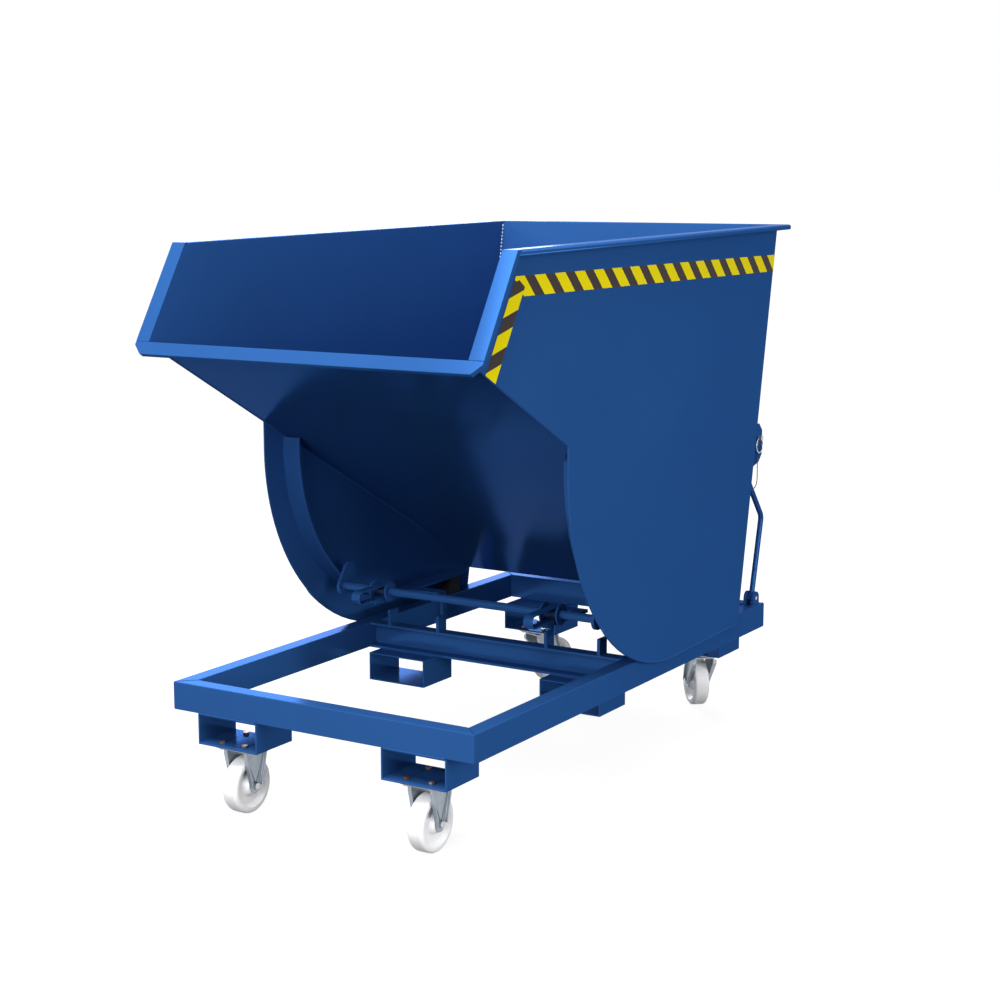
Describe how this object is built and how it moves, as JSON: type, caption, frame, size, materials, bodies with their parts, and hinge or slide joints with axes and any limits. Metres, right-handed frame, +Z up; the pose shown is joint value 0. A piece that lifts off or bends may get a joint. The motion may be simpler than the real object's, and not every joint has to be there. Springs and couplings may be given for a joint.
{
  "type": "tipping skip trolley",
  "caption": "Steel skip that tips forward over a cross shaft on a castored base frame with fork pockets, a latch lever and a locking pin.",
  "frame": {"origin": "on the floor under the middle of the whole trolley", "axes": "+Z up, +Y from the discharge end to the rear, +X to the side with the latch lever"},
  "size_m": [1.114, 1.9154, 1.6122],
  "materials": {
    "blue_paint": "gloss gentian blue paint",
    "zinc_plate": "zinc plated, satin",
    "bright_steel": "bright steel",
    "white_polyamide": "natural white, matt",
    "hazard_tape": "yellow and black slanted stripes",
    "bronze": "plain bearing bronze",
    "rubber": "black moulded rubber"
  },
  "bodies": {
    "frame": {"bearing_bushes": "bronze", "bearing_posts": "blue_paint", "castor_bolts": "zinc_plate", "cross_channel": "blue_paint", "front_axles": "zinc_plate", "front_left_fork": "zinc_plate", "front_left_pocket": "blue_paint", "front_rail": "blue_paint", "front_right_fork": "zinc_plate", "front_right_pocket": "blue_paint", "king_pins": "zinc_plate", "left_bearing_shelf": "blue_paint", "left_bearing_strap": "blue_paint", "left_rail": "blue_paint", "lever_ears": "blue_paint", "lever_pivot_pin": "bright_steel", "middle_left_pocket": "blue_paint", "middle_right_pocket": "blue_paint", "rear_left_pocket": "blue_paint", "rear_left_top_plate": "zinc_plate", "rear_rail": "blue_paint", "rear_right_pocket": "blue_paint", "rear_right_top_plate": "zinc_plate", "rest_pads": "rubber", "right_bearing_shelf": "blue_paint", "right_bearing_strap": "blue_paint", "right_rail": "blue_paint", "stop_posts": "blue_paint"},
    "tub": {"left_side_plate": "blue_paint", "right_side_plate": "blue_paint", "floor_sheet": "blue_paint", "rear_wall": "blue_paint", "left_rim": "blue_paint", "right_rim": "blue_paint", "left_mouth_band": "blue_paint", "right_mouth_band": "blue_paint", "rear_rim": "blue_paint", "lip_band": "blue_paint", "left_tread": "blue_paint", "right_tread": "blue_paint", "tipping_shaft": "blue_paint", "shaft_lugs": "blue_paint", "shaft_collars": "blue_paint", "catch_bracket": "blue_paint", "lanyard_tab": "blue_paint", "left_hazard_tape": "hazard_tape", "right_hazard_tape": "hazard_tape"},
    "lever": {"latch_lever": "blue_paint"},
    "pin": {"locking_pin": "bright_steel", "lanyard": "bright_steel"},
    "ring": {"pull_ring": "bright_steel"},
    "rear_left_swivel": {"rear_left_fork": "zinc_plate", "rear_left_axle": "zinc_plate"},
    "rear_right_swivel": {"rear_right_fork": "zinc_plate", "rear_right_axle": "zinc_plate"},
    "front_left_wheel_body": {"front_left_wheel": "white_polyamide"},
    "front_right_wheel_body": {"front_right_wheel": "white_polyamide"},
    "rear_left_wheel_body": {"rear_left_wheel": "white_polyamide"},
    "rear_right_wheel_body": {"rear_right_wheel": "white_polyamide"}
  },
  "joints": [
    {"name": "tub_tip", "type": "hinge", "parent": "frame", "child": "tub", "pos_m": [0, -0.1535, 0.514], "axis": [1, 0, 0], "range_deg": [0, 64]},
    {"name": "lever_swing", "type": "hinge", "parent": "frame", "child": "lever", "pos_m": [0.475, 0.8555, 0.392], "axis": [-1, 0, 0], "range_deg": [0, 60]},
    {"name": "pin_pull", "type": "slide", "parent": "tub", "child": "pin", "axis": [1, 0, 0], "range_m": [0, 0.045]},
    {"name": "ring_swing", "type": "hinge", "parent": "pin", "child": "ring", "pos_m": [0.5023, 0.8345, 0.928], "axis": [0, -1, 0], "range_deg": [0, 80]},
    {"name": "rear_left_swivel_turn", "type": "hinge", "parent": "frame", "child": "rear_left_swivel", "pos_m": [-0.31, 0.8265, 0.19], "axis": [0, 0, 1], "continuous": true},
    {"name": "rear_right_swivel_turn", "type": "hinge", "parent": "frame", "child": "rear_right_swivel", "pos_m": [0.31, 0.8265, 0.19], "axis": [0, 0, 1], "continuous": true},
    {"name": "front_left_wheel_spin", "type": "hinge", "parent": "frame", "child": "front_left_wheel_body", "pos_m": [-0.31, -0.8135, 0.08], "axis": [1, 0, 0], "continuous": true},
    {"name": "front_right_wheel_spin", "type": "hinge", "parent": "frame", "child": "front_right_wheel_body", "pos_m": [0.31, -0.8135, 0.08], "axis": [1, 0, 0], "continuous": true},
    {"name": "rear_left_wheel_spin", "type": "hinge", "parent": "rear_left_swivel", "child": "rear_left_wheel_body", "pos_m": [-0.29393, 0.87596, 0.08], "axis": [0.9511, -0.309, 0], "continuous": true},
    {"name": "rear_right_wheel_spin", "type": "hinge", "parent": "rear_right_swivel", "child": "rear_right_wheel_body", "pos_m": [0.2752, 0.86514, 0.08], "axis": [0.7431, 0.6691, 0], "continuous": true}
  ]
}
